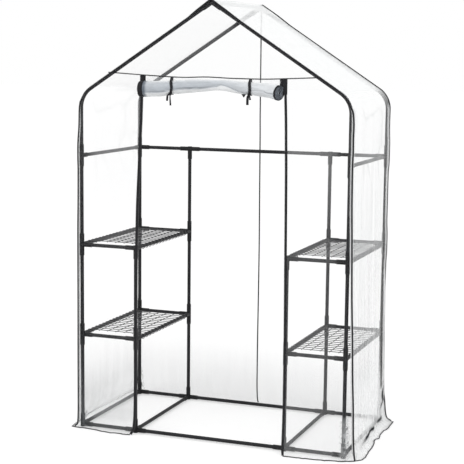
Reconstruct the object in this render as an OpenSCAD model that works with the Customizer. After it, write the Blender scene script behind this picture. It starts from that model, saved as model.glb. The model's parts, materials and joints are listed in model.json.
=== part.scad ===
// Walk-in greenhouse: a socketed steel tube frame with four wire shelves
// and a clear film cover whose door is rolled up above the doorway.
// The front faces -Y, +X is to the right and the ground is z = 0.

/* [Frame] */
// Distance between the corner posts' centres, left to right
frame_w = 1220; // [1050:10:1500]
// Distance between the corner posts' centres, front to back
frame_d = 610; // [500:10:900]
// Height of the middle rails
middle_h = 1227; // [1150:1:1300]
// Distance from the middle rails up to where wall and roof slope would meet in a sharp corner
eave_rise = 264; // [210:1:300]
// Height where the two roof slopes meet
ridge_h = 1888; // [1820:1:1980]
// Radius of the tube bends at the eaves
bend_r = 100; // [60:5:140]
// Outside diameter of the steel tubes
tube_d = 16; // [14:0.5:19]

/* [Shelves] */
// Height of the lower shelves
lower_shelf_h = 425; // [350:1:520]
// Height of the upper shelves
upper_shelf_h = 831; // [740:1:920]
// Distance between the posts at either side of a shelf
shelf_w = 262; // [200:1:340]
// Thickness of the shelf wires
wire_d = 3; // [2:0.1:3.2]
// Spacing of the wires that cross a shelf
wire_pitch = 36; // [24:1:60]
// Space between a shelf's front rail and its first cross wire
mesh_inset = 71; // [55:1:100]
// Number of wires along a shelf
long_wires = 5; // [3:1:7]
// How far the wire hooks reach below the middle of the rail
hook_drop = 6; // [2:0.5:8]

/* [Sockets] */
// Wall of the plastic sockets
socket_wall = 2.1; // [1.5:0.1:3]
// Length of a socket from the connector's centre
socket_l = 48; // [38:1:60]
// Plastic left between two tube ends
stop_wall = 1.9; // [1.5:0.1:4]
// Space under the ground rails' sockets
rail_clear = 2; // [1:0.5:10]

/* [Cover] */
// Thickness of the film
film_t = 1.5; // [0.8:0.1:3]
// How far the walls lean out at the top of the skirt
lean = 12; // [2:1:25]
// Height where the walls start to lean
lean_h = 950; // [600:10:1100]
// How far the hem lies outside the top of the skirt
hem_out = 40; // [20:1:60]
// Height of the skirt
skirt_h = 70; // [40:5:120]
// Height of the seam above the door, as a share of the roof's rise from eave to ridge
header_share = 0.217; // [0.17:0.001:0.4]
// How far the doorway's edges lie inside the line of the inner posts
jamb_inset = 5; // [0:1:20]

/* [Trim] */
// Thickness of the tapes and bindings
tape_t = 1.2; // [0.6:0.1:2]
// Width of the piping on the arches
piping_w = 6; // [4:0.5:10]
// How far the piping stands out
piping_h = 4; // [2:0.5:6]
// Width of the seams
seam_w = 10; // [6:1:16]
// Width of the binding on the hem
hem_w = 12; // [6:1:20]
// Width of the zip tapes
zip_w = 14; // [8:1:24]

/* [Rolled door] */
// Distance from the seam above the door down to the roll's centre line
roll_drop = 51; // [47:1:60]
// Distance from the wall film's outer face to the roll's centre line
roll_out = 16; // [10:1:17]
// Diameter of the roll at its ends
roll_end_d = 70; // [50:1:72]
// Diameter of the roll at its middle
roll_mid_d = 48; // [36:1:60]
// Space between an end of the roll and the doorway's edge
roll_end_gap = 28; // [12:1:60]
// Distance from the middle of the door to the left tie
left_tie_x = 157; // [80:1:220]
// Distance from the middle of the door to the right tie
right_tie_x = 195; // [80:1:220]
// Width of the tie tapes
tie_w = 14; // [8:1:20]
// Length of the ties' tails
tail_l = 40; // [15:1:50]

/* [Hidden] */
$fn = 48;
// Radial room between a tube and its socket
tube_fit = 0.1;
// Room between a tube's end and the stop in its socket
end_gap = 0.2;
// Room between soft pieces and what they lie on
seat_gap = 0.3;
// Room between a wire and the rail that it hooks over
wire_gap = 0.1;
// Each horizontal socket is a little thinner than the sleeve that it joins
socket_step = 0.15;
// How much wider than its sockets a ridge hub is
hub_extra = 1;
// Extra length of a cutting tool past the face that it cuts
cut = 1;

tube_r = tube_d / 2;
bore_r = tube_r + tube_fit;
sleeve_r = bore_r + socket_wall;
core = bore_r + stop_wall;
hub_r = sleeve_r + hub_extra;
hub_core = core + hub_extra;
cap = sleeve_r + hub_extra;
ground_h = sleeve_r + rail_clear;

hw = frame_w / 2;
hd = frame_d / 2;
inner_x = hw - shelf_w;

// Roof pitch, the angle of the eave bend and where the bend starts
eave_h = middle_h + eave_rise;
pitch = atan((ridge_h - eave_h) / hw);
turn = 90 - pitch;
tangent_l = bend_r * tan(turn / 2);
bend_h = eave_h - tangent_l;
bend_x = hw - bend_r;
bend_steps = 10;
bend_core = 2;
slope_l = hw / cos(pitch) - tangent_l - hub_core - end_gap;

// The film lies outside the tubes' centre lines, between film_in and film_out
film_in = hub_r + seat_gap;
film_out = film_in + film_t;
trim_out = film_out + tape_t;
jamb_x = inner_x - jamb_inset;
// Larger than the whole object, for cutting shapes
reach = 2 * (ridge_h + frame_w);

header_h = eave_h + header_share * (ridge_h - eave_h);
roll_h = header_h - roll_drop;
roll_half = jamb_x - roll_end_gap;
roll_y = -(hd + film_out + roll_out);
tie_steps = 28;
tail_w = tie_w * 0.6;
knot = tie_w * 0.8;
knot_angle = 225;
tail_splay = 8;

tube_color = [0.16, 0.16, 0.17];
plastic_color = [0.1, 0.1, 0.11];
wire_color = [0.25, 0.25, 0.26];
film_color = [0.85, 0.9, 0.93, 0.35];
tape_color = [0.06, 0.06, 0.07];

// A rod along one axis, from a to b
module rod_x(a, b, r) {
  translate([a, 0, 0]) rotate([0, 90, 0]) cylinder(r = r, h = b - a);
}

module rod_y(a, b, r) {
  translate([0, a, 0]) rotate([-90, 0, 0]) cylinder(r = r, h = b - a);
}

module rod_z(a, b, r) {
  translate([0, 0, a]) cylinder(r = r, h = b - a);
}

// A tube between the centres of two connectors, seated in their sockets
function seat_from(a) = a + core + end_gap;
function seat_to(b) = b - core - end_gap;

module tube_x(a, b, y, z) {
  translate([0, y, z]) rod_x(seat_from(a), seat_to(b), tube_r);
}

module tube_y(x, z) {
  translate([x, 0, z]) rod_y(seat_from(-hd), seat_to(hd), tube_r);
}

// A post in sections between connectors at the given heights
module post(x, y, heights) {
  for (i = [0 : len(heights) - 2])
    translate([x, y, 0]) rod_z(seat_from(heights[i]), seat_to(heights[i + 1]), tube_r);
}

corner_heights = [ground_h, lower_shelf_h, upper_shelf_h, middle_h];
inner_front_heights = [ground_h, lower_shelf_h, upper_shelf_h];

module front_left_post() { color(tube_color) post(-hw, -hd, corner_heights); }
module front_right_post() { color(tube_color) post(hw, -hd, corner_heights); }
module back_left_post() { color(tube_color) post(-hw, hd, corner_heights); }
module back_right_post() { color(tube_color) post(hw, hd, corner_heights); }
module inner_front_left_post() { color(tube_color) post(-inner_x, -hd, inner_front_heights); }
module inner_front_right_post() { color(tube_color) post(inner_x, -hd, inner_front_heights); }
module inner_back_left_post() { color(tube_color) post(-inner_x, hd, corner_heights); }
module inner_back_right_post() { color(tube_color) post(inner_x, hd, corner_heights); }

// One bent tube, from the middle connector over the eave to the ridge, on the right.
// A short core joins each straight length to the bend.
module rafter() {
  translate([hw, 0, bend_h]) {
    rod_z(seat_from(middle_h) - bend_h, 0, tube_r);
    rod_z(-bend_core, bend_core, tube_r / 2);
  }
  translate([bend_x, 0, bend_h]) {
    rotate([90, 0, 0]) rotate_extrude(angle = turn) translate([bend_r, 0]) circle(r = tube_r);
    translate([bend_r * cos(turn), 0, bend_r * sin(turn)]) rotate([0, -turn, 0]) {
      rod_z(0, slope_l, tube_r);
      rod_z(-bend_core, bend_core, tube_r / 2);
    }
  }
}

module front_left_rafter() { color(tube_color) translate([0, -hd, 0]) mirror([1, 0, 0]) rafter(); }
module front_right_rafter() { color(tube_color) translate([0, -hd, 0]) rafter(); }
module back_left_rafter() { color(tube_color) translate([0, hd, 0]) mirror([1, 0, 0]) rafter(); }
module back_right_rafter() { color(tube_color) translate([0, hd, 0]) rafter(); }

module ridge_bar() {
  color(tube_color)
    translate([0, 0, ridge_h]) rod_y(-hd + hub_core + end_gap, hd - hub_core - end_gap, tube_r);
}

// A rail across the greenhouse in three sections, broken at the inner posts
module cross_rail(y, z) {
  tube_x(-hw, -inner_x, y, z);
  tube_x(-inner_x, inner_x, y, z);
  tube_x(inner_x, hw, y, z);
}

module front_ground_rail() { color(tube_color) cross_rail(-hd, ground_h); }
module back_ground_rail() { color(tube_color) cross_rail(hd, ground_h); }
module back_middle_rail() { color(tube_color) cross_rail(hd, middle_h); }

module left_ground_rails() {
  color(tube_color) for (x = [-hw, -inner_x]) tube_y(x, ground_h);
}

module right_ground_rails() {
  color(tube_color) for (x = [inner_x, hw]) tube_y(x, ground_h);
}

module side_middle_rails() {
  color(tube_color) for (x = [-hw, hw]) tube_y(x, middle_h);
}

// The four rails round a shelf, on the right
module shelf_rails(z) {
  for (y = [-hd, hd]) tube_x(inner_x, hw, y, z);
  for (x = [inner_x, hw]) tube_y(x, z);
}

module left_lower_shelf_rails() { color(tube_color) mirror([1, 0, 0]) shelf_rails(lower_shelf_h); }
module left_upper_shelf_rails() { color(tube_color) mirror([1, 0, 0]) shelf_rails(upper_shelf_h); }
module right_lower_shelf_rails() { color(tube_color) shelf_rails(lower_shelf_h); }
module right_upper_shelf_rails() { color(tube_color) shelf_rails(upper_shelf_h); }

// A wire with six sides
module wire_x(a, b) { translate([a, 0, 0]) rotate([0, 90, 0]) cylinder(d = wire_d, h = b - a, $fn = 6); }
module wire_y(a, b) { translate([0, a, 0]) rotate([-90, 0, 0]) cylinder(d = wire_d, h = b - a, $fn = 6); }
module wire_z(a, b) { translate([0, 0, a]) cylinder(d = wire_d, h = b - a, $fn = 6); }

// A welded wire shelf: cross wires hook over the two long rails and carry the long wires
mesh_half_l = hd - mesh_inset;
cross_gaps = floor(2 * mesh_half_l / wire_pitch);
hook_off = tube_r + wire_gap + wire_d / 2;
weld = wire_d * 0.75;
long_pitch = (shelf_w - tube_d) / (long_wires + 1);

module shelf_mesh(z) {
  translate([0, 0, z + hook_off]) {
    for (i = [0 : cross_gaps]) translate([0, -mesh_half_l + 2 * mesh_half_l * i / cross_gaps, 0]) {
      wire_x(inner_x - hook_off - wire_d / 2, hw + hook_off + wire_d / 2);
      for (x = [inner_x - hook_off, hw + hook_off])
        translate([x, 0, 0]) wire_z(-hook_off - hook_drop, 0);
    }
    for (j = [1 : long_wires])
      translate([inner_x + tube_r + j * long_pitch, 0, -weld])
        wire_y(-mesh_half_l - wire_d, mesh_half_l + wire_d);
  }
}

module left_lower_shelf_mesh() { color(wire_color) mirror([1, 0, 0]) shelf_mesh(lower_shelf_h); }
module left_upper_shelf_mesh() { color(wire_color) mirror([1, 0, 0]) shelf_mesh(upper_shelf_h); }
module right_lower_shelf_mesh() { color(wire_color) shelf_mesh(lower_shelf_h); }
module right_upper_shelf_mesh() { color(wire_color) shelf_mesh(upper_shelf_h); }

// A moulded connector that reaches from the first to the second value along each axis.
// An end at the full socket length has a blind bore for a tube.
module connector(x, y, z) {
  difference() {
    union() {
      rod_z(z[0], z[1], sleeve_r);
      if (x[1] > x[0]) rod_x(x[0], x[1], sleeve_r - socket_step);
      if (y[1] > y[0]) rod_y(y[0], y[1], sleeve_r - 2 * socket_step);
    }
    if (x[0] == -socket_l) rod_x(-socket_l - cut, -core, bore_r);
    if (x[1] == socket_l) rod_x(core, socket_l + cut, bore_r);
    if (y[0] == -socket_l) rod_y(-socket_l - cut, -core, bore_r);
    if (y[1] == socket_l) rod_y(core, socket_l + cut, bore_r);
    if (z[0] == -socket_l) rod_z(-socket_l - cut, -core, bore_r);
    if (z[1] == socket_l) rod_z(core, socket_l + cut, bore_r);
  }
}

// Reach of a connector with a socket towards the inside of the frame, for the side at sign s
function inward(s) = s > 0 ? [-socket_l, 0] : [0, socket_l];
none = [0, 0];
through = [-socket_l, socket_l];

module ground_connectors() {
  up = [-ground_h, socket_l];
  color(plastic_color) for (sx = [-1, 1], sy = [-1, 1]) {
    translate([sx * hw, sy * hd, ground_h]) connector(inward(sx), inward(sy), up);
    translate([sx * inner_x, sy * hd, ground_h]) connector(through, inward(sy), up);
  }
}

module lower_shelf_connectors() {
  color(plastic_color) for (sx = [-1, 1], sy = [-1, 1]) {
    translate([sx * hw, sy * hd, lower_shelf_h]) connector(inward(sx), inward(sy), through);
    translate([sx * inner_x, sy * hd, lower_shelf_h]) connector(inward(-sx), inward(sy), through);
  }
}

module upper_shelf_connectors() {
  color(plastic_color) for (sx = [-1, 1], sy = [-1, 1]) {
    translate([sx * hw, sy * hd, upper_shelf_h]) connector(inward(sx), inward(sy), through);
    translate([sx * inner_x, sy * hd, upper_shelf_h])
      connector(inward(-sx), inward(sy), [-socket_l, sy > 0 ? socket_l : cap]);
  }
}

module middle_connectors() {
  color(plastic_color) for (sx = [-1, 1]) {
    translate([sx * hw, -hd, middle_h]) connector(none, inward(-1), through);
    translate([sx * hw, hd, middle_h]) connector(inward(sx), inward(1), through);
    translate([sx * inner_x, hd, middle_h]) connector(through, none, [-socket_l, cap]);
  }
}

// A hub with two sloping sockets for the rafters and one for the ridge bar, at the front
module ridge_connector() {
  difference() {
    union() {
      sphere(r = hub_r);
      rotate([0, 90 + pitch, 0]) rod_z(0, socket_l, sleeve_r);
      rotate([0, -90 - pitch, 0]) rod_z(0, socket_l, sleeve_r - socket_step);
      rod_y(0, socket_l, sleeve_r - 2 * socket_step);
    }
    rotate([0, 90 + pitch, 0]) rod_z(hub_core, socket_l + cut, bore_r);
    rotate([0, -90 - pitch, 0]) rod_z(hub_core, socket_l + cut, bore_r);
    rod_y(hub_core, socket_l + cut, bore_r);
  }
}

module ridge_connectors() {
  color(plastic_color) for (sy = [-1, 1])
    translate([0, sy * hd, ridge_h]) rotate([0, 0, sy > 0 ? 180 : 0]) ridge_connector();
}

// The cover's front view at an offset o from the tubes' centre lines, from the hem to the ridge
function side_line(o) = concat(
  [[hw + o + lean + hem_out, 0], [hw + o + lean, skirt_h], [hw + o, lean_h]],
  [for (i = [0 : bend_steps]) let (a = turn * i / bend_steps)
    [bend_x + (bend_r + o) * cos(a), bend_h + (bend_r + o) * sin(a)]],
  [[0, ridge_h + o / cos(pitch)]]
);

// The cover's side view at an offset o, from the hem to above the ridge
function end_line(o) =
  [[hd + o + lean + hem_out, 0], [hd + o + lean, skirt_h], [hd + o, lean_h], [hd + o, reach]];

function mirrored(line) = [for (i = [len(line) - 1 : -1 : 0]) [-line[i].x, line[i].y]];
function without_last(line) = [for (i = [0 : len(line) - 2]) line[i]];

module arch_region(o) {
  polygon(concat(side_line(o), mirrored(without_last(side_line(o)))));
}

module end_region(o) {
  polygon(concat(end_line(o), mirrored(end_line(o))));
}

// A rectangle in a view, between two corners
module window(a, b) {
  translate(a) square(b - a);
}

// Turns a front view into a solid along Y, and a side view into a solid along X
module along_y() { rotate([90, 0, 0]) linear_extrude(reach, center = true) children(); }
module along_x() { rotate([90, 0, 90]) linear_extrude(reach, center = true) children(); }

// A skin on the sides and roof between two offsets, within the end walls' outer face
module side_skin(o0, o1, a, b) {
  intersection() {
    along_y() intersection() {
      difference() {
        arch_region(o1);
        arch_region(o0);
      }
      window(a, b);
    }
    along_x() end_region(film_out);
  }
}

// A skin on the end wall at sign s between two offsets, cut to the front view of its children
module end_skin(s, o0, o1) {
  intersection() {
    along_x() intersection() {
      difference() {
        end_region(o1);
        end_region(o0);
      }
      window([s > 0 ? 0 : -reach, 0], [s > 0 ? reach : 0, reach]);
    }
    along_y() children();
  }
}

module left_side_sheet() { color(film_color) side_skin(film_in, film_out, [-reach, 0], [0, reach]); }
module right_side_sheet() { color(film_color) side_skin(film_in, film_out, [0, 0], [reach, reach]); }

// A wall panel of film, inside the side sheets, between two corners of the front view
module wall_panel(s, a, b) {
  color(film_color) end_skin(s, film_in, film_out) intersection() {
    arch_region(film_in);
    window(a, b);
  }
}

module front_left_panel() { wall_panel(-1, [-reach, 0], [-jamb_x, header_h]); }
module front_right_panel() { wall_panel(-1, [jamb_x, 0], [reach, header_h]); }
module front_gable_panel() { wall_panel(-1, [-reach, header_h], [reach, reach]); }
module back_left_panel() { wall_panel(1, [-reach, 0], [0, reach]); }
module back_right_panel() { wall_panel(1, [0, 0], [reach, reach]); }

// The door's film, rolled up below the header seam, thicker towards the ends
module door_roll() {
  color(film_color) {
    translate([0, roll_y, roll_h]) rotate([0, 90, 0]) rotate_extrude()
      polygon([[0, -roll_half], [roll_end_d / 2, -roll_half], [roll_mid_d / 2, 0],
               [roll_end_d / 2, roll_half], [0, roll_half]]);
    translate([-roll_half, -hd - film_out, roll_h]) cube([2 * roll_half, film_t, header_h - roll_h]);
  }
}

module door_zips() {
  color(tape_color) for (sx = [-1, 1])
    end_skin(-1, film_out, trim_out)
      window([sx * jamb_x - zip_w / 2, hem_w], [sx * jamb_x + zip_w / 2, header_h - seam_w / 2]);
}

// Angle at which a line from point p touches a circle round c, on the given side
function touch_angle(p, c, r, side) = atan2(p.y - c.y, p.x - c.x) + side * acos(r / norm(p - c));
function on_circle(c, r, a) = c + r * [cos(a), sin(a)];

// Radius that clears the roll under a tie at a distance x from the middle
function tie_radius(x) =
  (roll_mid_d + (roll_end_d - roll_mid_d) * (x + tie_w / 2) / roll_half) / 2 + seat_gap;

// A tape that hangs from the header seam round the roll and is knotted in front, in the side view
module tie_loop(tie_r) {
  c = [roll_y, roll_h];
  front = [-hd - trim_out - seat_gap, header_h];
  back = [-hd - film_in + seat_gap, header_h];
  a0 = touch_angle(front, c, tie_r, 1);
  a1 = touch_angle(back, c, tie_r, -1) + 360;
  angles = [for (i = [0 : tie_steps]) a0 + (a1 - a0) * i / tie_steps];
  inner = [for (a = angles) on_circle(c, tie_r, a)];
  outer = [for (i = [tie_steps : -1 : 0]) on_circle(c, tie_r + tape_t, angles[i])];
  polygon(concat([front], inner, [back, on_circle(back, tape_t, a1)], outer, [on_circle(front, tape_t, a0)]));
}

module tie(tie_r) {
  knot_at = on_circle([roll_y, roll_h], tie_r + knot / 2, knot_angle);
  rotate([90, 0, 90]) linear_extrude(tie_w, center = true) tie_loop(tie_r);
  translate([0, knot_at.x, knot_at.y]) {
    cube([tie_w + 2 * tape_t, knot, knot], center = true);
    for (s = [-1, 1])
      translate([s * tie_w / 2, 0, 0]) rotate([0, s * tail_splay, 0])
        translate([-tail_w / 2, s * tape_t, -tail_l]) cube([tail_w, tape_t, tail_l]);
  }
}

module door_ties() {
  color(tape_color) {
    translate([-left_tie_x, 0, 0]) tie(tie_radius(left_tie_x));
    translate([right_tie_x, 0, 0]) tie(tie_radius(right_tie_x));
  }
}

// Piping on the outside corners of the front and back arches
module arch_piping() {
  color(tape_color) for (s = [-1, 1])
    end_skin(s, film_out - piping_w, film_out) intersection() {
      difference() {
        arch_region(film_out + piping_h);
        arch_region(film_out);
      }
      window([-reach, hem_w], [reach, reach]);
    }
}

// The seam above the door and the seam down the middle of the back
module cover_seams() {
  color(tape_color) {
    end_skin(-1, film_out, trim_out) intersection() {
      arch_region(film_out);
      window([-reach, header_h - seam_w / 2], [reach, header_h + seam_w / 2]);
    }
    end_skin(1, film_out, trim_out) intersection() {
      arch_region(film_out);
      window([-seam_w / 2, hem_w], [seam_w / 2, reach]);
    }
  }
}

// Binding along the hem, open at the doorway
module hem_binding() {
  color(tape_color) {
    side_skin(film_out, trim_out, [-reach, 0], [0, hem_w]);
    side_skin(film_out, trim_out, [0, 0], [reach, hem_w]);
    end_skin(1, film_out, trim_out) intersection() {
      arch_region(trim_out);
      window([-reach, 0], [reach, hem_w]);
    }
    for (sx = [-1, 1])
      end_skin(-1, film_out, trim_out) intersection() {
        arch_region(trim_out);
        window([sx > 0 ? jamb_x : -reach, 0], [sx > 0 ? reach : -jamb_x, hem_w]);
      }
  }
}

front_left_post();
front_right_post();
back_left_post();
back_right_post();
inner_front_left_post();
inner_front_right_post();
inner_back_left_post();
inner_back_right_post();
front_left_rafter();
front_right_rafter();
back_left_rafter();
back_right_rafter();
ridge_bar();
front_ground_rail();
back_ground_rail();
left_ground_rails();
right_ground_rails();
back_middle_rail();
side_middle_rails();
left_lower_shelf_rails();
left_upper_shelf_rails();
right_lower_shelf_rails();
right_upper_shelf_rails();
left_lower_shelf_mesh();
left_upper_shelf_mesh();
right_lower_shelf_mesh();
right_upper_shelf_mesh();
ground_connectors();
lower_shelf_connectors();
upper_shelf_connectors();
middle_connectors();
ridge_connectors();
left_side_sheet();
right_side_sheet();
front_left_panel();
front_right_panel();
front_gable_panel();
back_left_panel();
back_right_panel();
door_roll();
door_zips();
door_ties();
arch_piping();
cover_seams();
hem_binding();
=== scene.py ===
"""Looks of a walk-in greenhouse: clear film with black trim over a dark tube frame, its door rolled up."""
import json
import math

import bpy
import numpy as np
from mathutils import Matrix, Vector


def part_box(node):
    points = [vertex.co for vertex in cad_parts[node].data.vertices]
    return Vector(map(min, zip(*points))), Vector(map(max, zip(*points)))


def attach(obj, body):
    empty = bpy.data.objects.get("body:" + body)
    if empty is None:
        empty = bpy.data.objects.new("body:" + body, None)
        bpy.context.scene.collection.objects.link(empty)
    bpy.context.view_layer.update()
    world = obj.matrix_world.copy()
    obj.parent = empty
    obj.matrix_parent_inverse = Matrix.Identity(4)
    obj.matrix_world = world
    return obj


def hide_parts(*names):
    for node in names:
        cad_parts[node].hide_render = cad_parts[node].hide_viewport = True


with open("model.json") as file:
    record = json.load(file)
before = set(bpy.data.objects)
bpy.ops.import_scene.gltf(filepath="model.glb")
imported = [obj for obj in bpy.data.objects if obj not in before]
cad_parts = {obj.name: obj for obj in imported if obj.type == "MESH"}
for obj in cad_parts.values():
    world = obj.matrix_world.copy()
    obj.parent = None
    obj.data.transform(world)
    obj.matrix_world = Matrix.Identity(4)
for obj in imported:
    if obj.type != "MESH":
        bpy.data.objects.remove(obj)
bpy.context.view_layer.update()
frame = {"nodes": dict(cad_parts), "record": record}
nodes = frame["nodes"]


def centre(node):
    low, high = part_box(node)
    return (low + high) / 2


# Sizes in metres. The front faces -Y, and a side or an end is named by its sign.
HALF_W = centre("front_right_post").x
HALF_D = -centre("front_right_post").y
INNER_X = centre("inner_front_right_post").x
RIDGE_H = centre("ridge_bar").z
HEADER_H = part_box("front_gable_panel")[0].z
TUBE_R = (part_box("front_right_post")[1].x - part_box("front_right_post")[0].x) / 2
EAVE_H = 1.491
BEND_R = 0.100
PITCH = math.atan((RIDGE_H - EAVE_H) / HALF_W)
TURN = math.pi / 2 - PITCH
BEND_H = EAVE_H - BEND_R * math.tan(TURN / 2)
BEND_X = HALF_W - BEND_R

FILM_T = 0.0008
FILM_OFF = 0.0123
SLOPE_OFF = 0.0083
SLOPE_END_OFF = 0.0098
FRONT, BACK = -1, 1
LEFT, RIGHT = -1, 1
SIDES = ((LEFT, "left"), (RIGHT, "right"))


# Curves and noise

def table(points):
    """A smooth function through (position, value) pairs that never overshoots them."""
    xs = np.array([p[0] for p in points], float)
    vs = np.array([p[1] for p in points], float)
    gap = np.diff(xs)
    slope = np.diff(vs) / gap
    grade = np.concatenate([slope[:1], np.zeros(len(xs) - 2), slope[-1:]])
    rising = slope[:-1] * slope[1:] > 0
    total = np.where(rising, slope[:-1] + slope[1:], 1.0)
    grade[1:-1] = np.where(rising, 2 * slope[:-1] * slope[1:] / total, 0.0)

    def value(x):
        x = np.clip(np.asarray(x, float), xs[0], xs[-1])
        i = np.clip(np.searchsorted(xs, x, side="right") - 1, 0, len(xs) - 2)
        t = (x - xs[i]) / gap[i]
        return (vs[i] * (1 + 2 * t) * (1 - t) ** 2 + vs[i + 1] * t * t * (3 - 2 * t)
                + gap[i] * (grade[i] * t * (1 - t) ** 2 - grade[i + 1] * t * t * (1 - t)))

    return value


def mix(a, b, t):
    return a + (b - a) * t


def ease(low, high, x):
    """Goes smoothly from 0 at low to 1 at high."""
    t = np.clip((np.asarray(x, float) - low) / (high - low), 0, 1)
    return t * t * (3 - 2 * t)


def hash_noise(ix, iy, seed):
    v = np.sin(ix * 127.1 + iy * 311.7 + seed * 74.7) * 43758.5453
    return v - np.floor(v)


def noise(x, y, seed):
    """Smooth noise from -1 to 1 that changes over a distance of about 1."""
    ix, iy = np.floor(x), np.floor(y)
    tx, ty = x - ix, y - iy
    tx, ty = tx * tx * (3 - 2 * tx), ty * ty * (3 - 2 * ty)
    low = mix(hash_noise(ix, iy, seed), hash_noise(ix + 1, iy, seed), tx)
    high = mix(hash_noise(ix, iy + 1, seed), hash_noise(ix + 1, iy + 1, seed), tx)
    return 2 * mix(low, high, ty) - 1


def crease(x, y, seed):
    """Sharp raised lines, from 0 to 1, along the places where a noise changes sign."""
    return (1 - np.abs(noise(x, y, seed))) ** 6


# The film clears the connectors on the walls and at the ridge, and lies closer on the bare rafters.
film_off = table([(0, FILM_OFF), (1.28, FILM_OFF), (1.36, SLOPE_OFF),
                  (1.80, SLOPE_OFF), (1.86, FILM_OFF), (1.91, FILM_OFF)])
end_off = table([(0, FILM_OFF), (1.28, FILM_OFF), (1.40, SLOPE_END_OFF),
                 (1.80, SLOPE_END_OFF), (1.86, FILM_OFF), (1.91, FILM_OFF)])
FILM_TOP = RIDGE_H + FILM_OFF / math.cos(PITCH)
END_TOP = FILM_TOP - 0.003


# Meshes

class Shape:
    """Collects the parts of one mesh."""

    def __init__(self):
        self.points, self.faces = [], []

    def add(self, points, faces):
        start = sum(len(p) for p in self.points)
        self.points.append(np.asarray(points, float).reshape(-1, 3))
        self.faces += [tuple(start + i for i in f) for f in faces]

    def build(self, name, material, slot, node=None, smooth=True, **values):
        """Makes the piece, in place of a CAD node if one is named.

        Each further value is an attribute with a number or a vector for each point.
        """
        mesh = bpy.data.meshes.new(name)
        mesh.from_pydata(np.concatenate(self.points).tolist(), [], self.faces)
        mesh.polygons.foreach_set("use_smooth", [smooth] * len(mesh.polygons))
        mesh.materials.append(material)
        mesh.update()
        for key, value in values.items():
            vectors = np.ndim(value) == 2
            data = mesh.attributes.new(key, "FLOAT_VECTOR" if vectors else "FLOAT", "POINT").data
            data.foreach_set("vector" if vectors else "value", np.ravel(value))
        obj = bpy.data.objects.new(name, mesh)
        bpy.context.scene.collection.objects.link(obj)
        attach(obj, "root")
        if node:
            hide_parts(node)
        return obj


def unit(v):
    return v / np.maximum(np.linalg.norm(v, axis=-1, keepdims=True), 1e-12)


def closed_sheet(grid, thickness):
    """Points and faces of a sheet of even thickness whose middle lies on a grid of points."""
    rows, cols = grid.shape[:2]
    normal = unit(np.cross(np.gradient(grid, axis=0), np.gradient(grid, axis=1)))
    points = np.concatenate([(grid + normal * thickness / 2).reshape(-1, 3),
                             (grid - normal * thickness / 2).reshape(-1, 3)])
    at = np.arange(rows * cols).reshape(rows, cols)
    far = rows * cols
    a, b, c, d = at[:-1, :-1].ravel(), at[1:, :-1].ravel(), at[1:, 1:].ravel(), at[:-1, 1:].ravel()
    faces = list(zip(a, b, c, d)) + list(zip(d + far, c + far, b + far, a + far))
    rim = np.concatenate([at[:, 0][::-1], at[0, 1:], at[1:, -1], at[-1, -2:0:-1]])
    for i, j in zip(rim, np.roll(rim, -1)):
        faces.append((i, j, j + far, i + far))
    return points, faces


def rings(sections):
    """Points and faces that join rings of equal size, with flat ends."""
    count, size = len(sections), len(sections[0])
    faces = []
    for i in range(count - 1):
        for j in range(size):
            n = (j + 1) % size
            faces.append((i * size + j, i * size + n, (i + 1) * size + n, (i + 1) * size + j))
    faces.append(tuple(range(size - 1, -1, -1)))
    faces.append(tuple((count - 1) * size + j for j in range(size)))
    return np.concatenate(sections), faces


def tube(path, radius, sides=8):
    """A round rod along a path."""
    path = np.asarray(path, float)
    along = unit(np.gradient(path, axis=0))
    across = np.cross(along[0], [0.31, 0.87, 0.39])
    a = np.linspace(0, 2 * math.pi, sides, endpoint=False)[:, None]
    sections = []
    for p, t in zip(path, along):
        across = unit(across - t * np.dot(across, t))
        other = np.cross(t, across)
        sections.append(p + radius * (np.cos(a) * across + np.sin(a) * other))
    return rings(sections)


def ribbon(path, side, width, thickness):
    """A flat tape along a path, with side the direction of its width, for all points or for each."""
    path, side = np.asarray(path, float), unit(np.asarray(side, float))
    along = unit(np.gradient(path, axis=0))
    side = unit(side - along * (side * along).sum(1, keepdims=True))
    face = np.cross(along, side)
    w, t = width / 2, thickness / 2
    bevel = min(w, t) * 0.5
    outline = [(w, bevel - t), (w, t - bevel), (w - bevel, t), (bevel - w, t),
               (-w, t - bevel), (-w, bevel - t), (bevel - w, -t), (w - bevel, -t)]
    sections = [np.array([p + a * s + b * f for a, b in outline])
                for p, s, f in zip(path, side, face)]
    return rings(sections)


# Materials

EVEN = (1, 1, 1)


def new_material(name, **values):
    """A material with a Principled shader whose sockets take the given values."""
    material = bpy.data.materials.new(name)
    material.use_nodes = True
    tree = material.node_tree
    shader = tree.nodes["Principled BSDF"]
    for socket, value in values.items():
        shader.inputs[socket.replace("_", " ")].default_value = value
    return material, tree, shader


def add_node(tree, kind, settings=None, **inputs):
    node = tree.nodes.new(kind)
    for key, value in (settings or {}).items():
        setattr(node, key, value)
    for socket, value in inputs.items():
        target = node.inputs[int(socket[1:])] if socket[1:].isdigit() else node.inputs[socket]
        if isinstance(value, bpy.types.NodeSocket):
            tree.links.new(value, target)
        else:
            target.default_value = value
    return node


def feed(tree, shader, **outputs):
    """Links each output to the shader's socket of that name."""
    for socket, output in outputs.items():
        tree.links.new(output, shader.inputs[socket.replace("_", " ")])


def stretched(tree, scale):
    """The object's own coordinates, stretched so that a pattern follows its grain."""
    place = add_node(tree, "ShaderNodeTexCoord").outputs["Object"]
    return add_node(tree, "ShaderNodeMapping", Vector=place, Scale=scale).outputs["Vector"]


def noise_texture(tree, stretch, scale, **values):
    place = stretched(tree, stretch)
    return add_node(tree, "ShaderNodeTexNoise", Vector=place, Scale=scale, **values).outputs["Fac"]


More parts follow.
